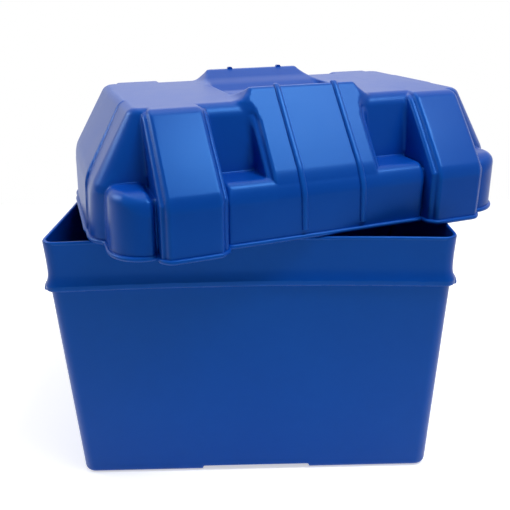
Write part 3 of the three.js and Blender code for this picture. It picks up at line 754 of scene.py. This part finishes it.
def polypropylene(name):
    """The satin blue of both mouldings."""
    material = bpy.data.materials.new(name)
    material.use_nodes = True
    tree = material.node_tree
    shader = tree.nodes["Principled BSDF"]
    place = tree.nodes.new("ShaderNodeTexCoord").outputs["Object"]
    edge = tree.nodes.new("ShaderNodeAttribute")
    edge.attribute_name = "edge_wear_and_highlight"

    def use(node_tree, **links):
        node = tree.nodes.new("ShaderNodeGroup")
        node.node_tree = node_tree
        for label, source in links.items():
            tree.links.new(source, node.inputs[label])
        return node.outputs

    def times(value, factor):
        return math_node(tree, "MULTIPLY", value, factor)

    pigment = use(drift, Vector=place)["Amount"]
    relief = use(grain, Vector=place)["Height"]
    marks = use(scuffs_and_highlight, Vector=place, Edge=edge.outputs["Fac"])
    rubbed_and_highlighted, scratched = marks["Edge Rub and Highlight"], marks["Amount"]

    # Paler with pigment drift, rubbed edges, the bars' painted highlight, and scratches.
    spread = times(math_node(tree, "SUBTRACT", pigment, DRIFT_BASE), DRIFT_GAIN)
    paler = math_node(tree, "ADD", spread, times(rubbed_and_highlighted, EDGE_PALER))
    paler = math_node(tree, "ADD", paler, times(scratched, SCRATCH_PALER), True)
    colour = tree.nodes.new("ShaderNodeMix")
    colour.data_type = "RGBA"
    colour.inputs["A"].default_value = (*DEEP_BLUE, 1)
    colour.inputs["B"].default_value = (*PALE_BLUE, 1)
    tree.links.new(paler, colour.inputs["Factor"])
    tree.links.new(colour.outputs["Result"], shader.inputs["Base Color"])

    dull = math_node(tree, "ADD", times(pigment, DRIFT_ROUGHER), BASE_ROUGHNESS)
    dull = math_node(tree, "ADD", dull, times(scratched, SCRATCH_ROUGHER))
    dull = math_node(tree, "SUBTRACT", dull, times(rubbed_and_highlighted, EDGE_SMOOTHER))
    tree.links.new(dull, shader.inputs["Roughness"])

    bump = tree.nodes.new("ShaderNodeBump")
    bump.inputs["Strength"].default_value = GRAIN_STRENGTH
    bump.inputs["Distance"].default_value = GRAIN_DEPTH
    tree.links.new(relief, bump.inputs["Height"])
    tree.links.new(bump.outputs["Normal"], shader.inputs["Normal"])
    shader.inputs["IOR"].default_value = PLASTIC_IOR
    shader.inputs["Specular IOR Level"].default_value = SHINE
    shader.inputs["Specular Tint"].default_value = SHINE_TINT
    return material


blue = polypropylene("blue polypropylene")
print("material:", blue.name)

# %% [markdown]
# ## Beads, ribs and guides
#
# A bead stiffens each rim, two guides keep the strap in place on each band, and ribs stiffen
# the floor. All of them are a small section carried along a path, so one Geometry Nodes tree
# serves: it turns an edge path into a curve, carries a rounded section along it and gives the
# result its material. The section's width, height, corner and facing are inputs.

# %% A tree that carries a rounded section along a path
CORNER_STEPS = 4


def sweep_tree():
    """Path in, rounded bar out."""
    tree = bpy.data.node_groups.new("section along a path", "GeometryNodeTree")
    face = tree.interface
    face.new_socket("Geometry", in_out="OUTPUT", socket_type="NodeSocketGeometry")
    face.new_socket("Geometry", in_out="INPUT", socket_type="NodeSocketGeometry")
    for label in ("Width", "Height", "Corner"):
        face.new_socket(label, in_out="INPUT", socket_type="NodeSocketFloat").default_value = MM
    face.new_socket("Facing", in_out="INPUT", socket_type="NodeSocketVector").default_value = (0, 0, 1)
    face.new_socket("Material", in_out="INPUT", socket_type="NodeSocketMaterial")
    start, end = tree.nodes.new("NodeGroupInput"), tree.nodes.new("NodeGroupOutput")
    path = tree.nodes.new("GeometryNodeMeshToCurve")
    turn = tree.nodes.new("GeometryNodeSetCurveNormal")
    turn.mode = "FREE"
    box = tree.nodes.new("GeometryNodeCurvePrimitiveQuadrilateral")
    rounding = tree.nodes.new("GeometryNodeFilletCurve")
    rounding.mode = "POLY"
    rounding.inputs["Count"].default_value = CORNER_STEPS
    sweep = tree.nodes.new("GeometryNodeCurveToMesh")
    sweep.inputs["Fill Caps"].default_value = True
    smooth = tree.nodes.new("GeometryNodeSetShadeSmooth")
    real = tree.nodes.new("GeometryNodeRealizeInstances")
    paint = tree.nodes.new("GeometryNodeSetMaterial")
    link = tree.links.new
    link(start.outputs["Geometry"], path.inputs["Mesh"])
    link(path.outputs["Curve"], turn.inputs["Curve"])
    link(start.outputs["Facing"], turn.inputs["Normal"])
    link(start.outputs["Width"], box.inputs["Width"])
    link(start.outputs["Height"], box.inputs["Height"])
    link(box.outputs["Curve"], rounding.inputs["Curve"])
    link(start.outputs["Corner"], rounding.inputs["Radius"])
    link(turn.outputs["Curve"], sweep.inputs["Curve"])
    link(rounding.outputs["Curve"], sweep.inputs["Profile Curve"])
    link(sweep.outputs["Mesh"], smooth.inputs["Geometry"])
    link(smooth.outputs["Geometry"], real.inputs["Geometry"])
    link(real.outputs["Geometry"], paint.inputs["Geometry"])
    link(start.outputs["Material"], paint.inputs["Material"])
    link(paint.outputs["Geometry"], end.inputs["Geometry"])
    return tree


sweep_nodes = sweep_tree()
sweep_items = sweep_nodes.interface.items_tree
SOCKETS = {item.name: item.identifier for item in sweep_items if item.in_out == "INPUT"}
# Beads, guides and ribs are drawn paler all over through the edge input: a painted highlight, not wear.
BAR_PAINTED_HIGHLIGHT = 0.9
print("sweep inputs:", ", ".join(SOCKETS))


# %% A swept bar as a plain mesh
def swept(name, paths, closed, place, width, height, corner, facing):
    """A plain mesh: the rounded section carried along each path."""
    points, edges = [], []
    for path in paths:
        first = len(points)
        points += [tuple(p) for p in placed(path, place)]
        edges += [(first + k, first + k + 1) for k in range(len(path) - 1)]
        if closed:
            edges.append((len(points) - 1, first))
    mesh = bpy.data.meshes.new(name + " path")
    mesh.from_pydata(points, edges, [])
    carrier = bpy.data.objects.new(name + " path", mesh)
    bpy.context.scene.collection.objects.link(carrier)
    modifier = carrier.modifiers.new("sweep", "NODES")
    modifier.node_group = sweep_nodes
    for label, value in (("Width", width), ("Height", height), ("Corner", corner)):
        modifier[SOCKETS[label]] = value * MM
    modifier[SOCKETS["Facing"]] = tuple(place.to_3x3() @ Vector(facing))
    modifier[SOCKETS["Material"]] = blue
    seen = carrier.evaluated_get(bpy.context.evaluated_depsgraph_get())
    plain = bpy.data.meshes.new_from_object(seen)
    plain.name = name
    bpy.data.objects.remove(carrier)
    # Every vertex of the bar gets the same edge value, which paints the whole bar paler as a highlight.
    wear_and_highlight = plain.attributes.new("edge_wear_and_highlight", "FLOAT", "POINT").data
    wear_and_highlight.foreach_set("value", np.full(len(plain.vertices), BAR_PAINTED_HIGHLIGHT))
    piece = bpy.data.objects.new(name, plain)
    bpy.context.scene.collection.objects.link(piece)
    print(name, "has", len(plain.polygons), "faces")
    return piece


# %% [markdown]
# ## Rim beads
#
# On the real mouldings the edge is rolled into a small rounded bar, which stiffens a wall
# that would otherwise wave, and catches a line of light. The bar could be part of the
# distance formula, but it is smaller than the grid there. So it is swept along the rim that
# the skin ends in, and it hides that open edge.

# %% Rim beads
LID_BEAD_HEIGHT, TUB_BEAD_DROP = 2.7, 1.7
LID_BEAD_SPACING, TUB_BEAD_SPACING = 2.5, 3.0
TUB_BEAD_INSET = 1.4
INSET_X_REACHES, INSET_Y_REACHES = (180.0, 198.0), (122.0, 138.0)


def resampled(loop, spacing):
    """The loop as evenly spaced points, each smoothed with its two neighbours."""
    closed = np.vstack([loop, loop[:1]])
    along = np.concatenate([[0], np.cumsum(np.linalg.norm(np.diff(closed, axis=0), axis=1))])
    steps = np.linspace(0, along[-1], int(along[-1] / spacing), endpoint=False)
    path = np.stack([np.interp(steps, along, closed[:, k]) for k in range(3)], axis=1)
    return (path + np.roll(path, 1, axis=0) + np.roll(path, -1, axis=0)) / 3


lid_path = resampled(lid_rim, LID_BEAD_SPACING)
lid_path[:, 2] = LID_BEAD_HEIGHT
lid_bead = swept("lid_rim_bead", [lid_path], True, lid_place,
                 width=4.4, height=5.4, corner=2.0, facing=(0, 0, 1))
tub_path = resampled(tub_rim, TUB_BEAD_SPACING)
tub_path[:, 2] = TUB_HEIGHT - TUB_BEAD_DROP
for axis, reaches in enumerate((INSET_X_REACHES, INSET_Y_REACHES)):
    outward = np.sign(tub_path[:, axis]) * ramp(np.abs(tub_path[:, axis]), *reaches)
    tub_path[:, axis] -= TUB_BEAD_INSET * outward
tub_bead = swept("tub_rim_bead", [tub_path], True, tub_place,
                 width=3.8, height=3.4, corner=1.6, facing=(0, 0, 1))

# %% [markdown]
# ## Strap guides
#
# A guide follows the lid's own skin, up a band's face and over its crest. Rays from a pivot
# inside the lid find the skin: along each one, the stretch that holds it is halved until it
# is as short as wanted.

# %% Strap guides
GUIDE_HALF, GUIDE_MIDDLE = 31.0, 3.8
GUIDE_SPLAY = 1.2
PIVOT_Y, PIVOT_Z = 78.0, 38.0
FACE_ANGLES, CREST_ANGLES = (-22, 62, 40), (64, 91, 14)
RAY_START, RAY_END, HALVINGS = 5.0, 150.0, 30


def over_the_band(x, side):
    """A path on the lid's skin from just above the rim, up the band's face and over its crest."""
    angles = np.radians(np.concatenate([np.linspace(*FACE_ANGLES), np.linspace(*CREST_ANGLES)]))
    path = []
    for angle in angles:
        pivot = np.array([x - GUIDE_SPLAY * angle, side * PIVOT_Y, PIVOT_Z])
        ray = np.array([0, side * math.cos(angle), math.sin(angle)])
        near, far = RAY_START, RAY_END
        for _ in range(HALVINGS):
            middle = (near + far) / 2
            if lid_field(*(pivot + ray * middle)[:, None])[0] < 0:
                near = middle
            else:
                far = middle
        path.append(pivot + ray * near)
    return np.array(path)


guide_places = (GUIDE_MIDDLE - GUIDE_HALF, GUIDE_MIDDLE + GUIDE_HALF)
guide_paths = [over_the_band(x, side) for x in guide_places for side in (-1, 1)]
guides = swept("strap_guides", guide_paths, False, lid_place,
               width=6.0, height=5.0, corner=2.2, facing=(1, 0, 0))

# %% [markdown]
# ## Floor ribs
#
# Each half of the tub's floor has a few low ribs on which the batteries stand, clear of any
# spilled acid. They are straight, so a path of a few points in a row serves for each.

# %% Floor ribs
RIB_ROWS, RIB_SPREAD = 5, 234.8
RIB_START, RIB_END, RIB_POINTS, RIB_MIDDLE_HEIGHT = 77.4, 174.8, 8, 5.4
rib_paths = []
for side in (-1, 1):
    for row in np.linspace(-0.5, 0.5, RIB_ROWS) * RIB_SPREAD:
        along = side * np.linspace(RIB_START, RIB_END, RIB_POINTS)
        across = np.full(RIB_POINTS, row)
        rib_paths.append(np.stack([along, across, np.full(RIB_POINTS, RIB_MIDDLE_HEIGHT)], axis=1))
ribs = swept("floor_ribs", rib_paths, False, tub_place,
             width=3.0, height=4.4, corner=0.8, facing=(0, 1, 0))

# %% [markdown]
# ## Hanging the pieces on their mouldings
#
# Each piece is hung on the moulding it moves with, and the two shells take the blue material.
# The two shells stand in for the two imported solids, which stay behind them for physics
# only, hidden.

# %% Hang the pieces on their mouldings
for piece in (lid, tub):
    piece.data.materials.append(blue)
for piece in (lid, lid_bead, guides):
    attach(piece, "lid")
for piece in (tub, tub_bead, ribs):
    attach(piece, "tub")
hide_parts("lid")
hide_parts("tub")

# %% [markdown]
# ## Camera
#
# The photograph was taken from a little above, with a moderate lens, and cropped slightly off
# the lens axis. A small shift reproduces that crop without turning the camera. The lens and
# the crop are measured in the photograph's own pixels.

# %% Camera
FRAME_PX, FOCAL_PX = 510, 600
AXIS_X_PX, AXIS_Y_PX = 278.934, 233.271
SENSOR, CLIP_END = 36, 20
CAMERA_PLACE = (-0.015879, -0.681095, 0.503099)
ROLL, PITCH, YAW = 0.801, -21.684, -1.806
UPRIGHT = 90
lens = bpy.data.cameras.new("camera")
lens.sensor_width = SENSOR
lens.lens = SENSOR * FOCAL_PX / FRAME_PX
lens.shift_x = (FRAME_PX / 2 - AXIS_X_PX) / FRAME_PX
lens.shift_y = (AXIS_Y_PX - FRAME_PX / 2) / FRAME_PX
lens.clip_end = CLIP_END
camera = bpy.data.objects.new("camera", lens)
aim = turned(ROLL, "Y") @ turned(PITCH, "X") @ turned(YAW, "Z") @ turned(UPRIGHT, "X")
camera.matrix_world = Matrix.Translation(CAMERA_PLACE) @ aim
bpy.context.scene.collection.objects.link(camera)
bpy.context.scene.camera = camera
print("camera height", round(camera.location.z, 3), "m")

# %% [markdown]
# ## Floor, light and background
#
# The photograph is a plain studio cut-out: white all round, soft light from above and in
# front. The floor is pale and keeps the box's soft shadow, and the background shows white to
# the camera while giving the object only a moderate, even light.

# %% Floor
FLOOR_HALF, FLOOR_DROP = 0.8, 0.0005
FLOOR_GREY, FLOOR_ROUGHNESS, FLOOR_SHINE, FLOOR_GLOW = 0.9, 0.9, 0.1, 0.5
floor_mesh = bpy.data.meshes.new("floor")
floor_corners = [(x * FLOOR_HALF, y * FLOOR_HALF, 0) for x, y in ((-1, -1), (1, -1), (1, 1), (-1, 1))]
floor_mesh.from_pydata(floor_corners, [], [(0, 1, 2, 3)])
floor = bpy.data.objects.new("floor", floor_mesh)
floor.location.z = -FLOOR_DROP
bpy.context.scene.collection.objects.link(floor)
pale = bpy.data.materials.new("pale floor")
pale.use_nodes = True
floor_shader = pale.node_tree.nodes["Principled BSDF"].inputs
floor_shader["Base Color"].default_value = (FLOOR_GREY, FLOOR_GREY, FLOOR_GREY, 1)
floor_shader["Roughness"].default_value = FLOOR_ROUGHNESS
floor_shader["Specular IOR Level"].default_value = FLOOR_SHINE
floor_shader["Emission Color"].default_value = (1, 1, 1, 1)


def seen_directly(tree):
    """1 for the rays that show the background as such, 0 for the rays that light the object."""
    rays = tree.nodes.new("ShaderNodeLightPath").outputs
    shiny = math_node(tree, "MAXIMUM", rays["Is Glossy Ray"], rays["Is Transmission Ray"])
    return math_node(tree, "MAXIMUM", rays["Is Camera Ray"], shiny)


glow = math_node(pale.node_tree, "MULTIPLY", seen_directly(pale.node_tree), FLOOR_GLOW)
pale.node_tree.links.new(glow, floor_shader["Emission Strength"])
floor_mesh.materials.append(pale)
print("floor:", 2 * FLOOR_HALF, "m square")

# %% [markdown]
# ## World
#
# The sky is a little brighter overhead than at the horizon, so upright walls stay dark and
# level faces lighter. The camera and the reflections see plain white instead.

# %% World
SKY_UP = (0, 0.35, 0.94)
SKY_RANGE = {"From Min": -0.1, "From Max": 1.0, "To Min": 0.03, "To Max": 0.30}
world = bpy.data.worlds.new("studio")
world.use_nodes = True
bpy.context.scene.world = world
nodes, links = world.node_tree.nodes, world.node_tree.links
back = nodes["Background"]
back.inputs["Color"].default_value = (1, 1, 1, 1)
direction = nodes.new("ShaderNodeTexCoord").outputs["Generated"]
height = nodes.new("ShaderNodeVectorMath")
height.operation = "DOT_PRODUCT"
height.inputs[1].default_value = SKY_UP
links.new(direction, height.inputs[0])
sky = nodes.new("ShaderNodeMapRange")
for label, value in SKY_RANGE.items():
    sky.inputs[label].default_value = value
links.new(height.outputs["Value"], sky.inputs["Value"])
strength = nodes.new("ShaderNodeMix")
strength.inputs["B"].default_value = 1.0
links.new(sky.outputs["Result"], strength.inputs["A"])
links.new(seen_directly(world.node_tree), strength.inputs["Factor"])
links.new(strength.outputs["Result"], back.inputs["Strength"])
print("sky strength:", SKY_RANGE["To Min"], "to", SKY_RANGE["To Max"])

# %% [markdown]
# ## Lamps
#
# The long gleam on the lid's slopes is a softbox in front of the box and to the right, where
# a mirror on those slopes would point. The others are weak: one behind, one overhead, one to
# the left, and a low one that shines down on the floor, which throws light up on to the tub.

# %% Lamps
def lamp(name, place, target, width, depth, watts):
    """A rectangular area lamp that points at its target."""
    light = bpy.data.lights.new(name, "AREA")
    light.shape = "RECTANGLE"
    light.size, light.size_y = width, depth
    light.energy = watts
    holder = bpy.data.objects.new(name, light)
    holder.location = place
    holder.rotation_euler = (Vector(target) - Vector(place)).to_track_quat("-Z", "Y").to_euler()
    bpy.context.scene.collection.objects.link(holder)
    print(name, "gives", watts, "W")


BOX_MIDDLE = (0.0, 0.0, 0.35)
lamp("rear softbox", place=(-0.1, 2.4, 1.7), target=BOX_MIDDLE, width=1.6, depth=1.0, watts=4)
lamp("overhead softbox", place=(0.0, 0.3, 1.7), target=(0.0, 0.3, 0.0), width=1.2, depth=1.0, watts=5)
lamp("front softbox", place=(0.70, -0.42, 1.7), target=(0.70, -0.42, 0.0), width=0.9, depth=0.5, watts=18)
lamp("left softbox", place=(-1.6, 0.1, 1.3), target=BOX_MIDDLE, width=0.9, depth=0.7, watts=11)
lamp("floor light", place=(0.0, -0.72, 0.22), target=(0.0, -0.72, 0.0), width=1.3, depth=0.4, watts=2.2)
bpy.context.scene.view_settings.view_transform = "Standard"
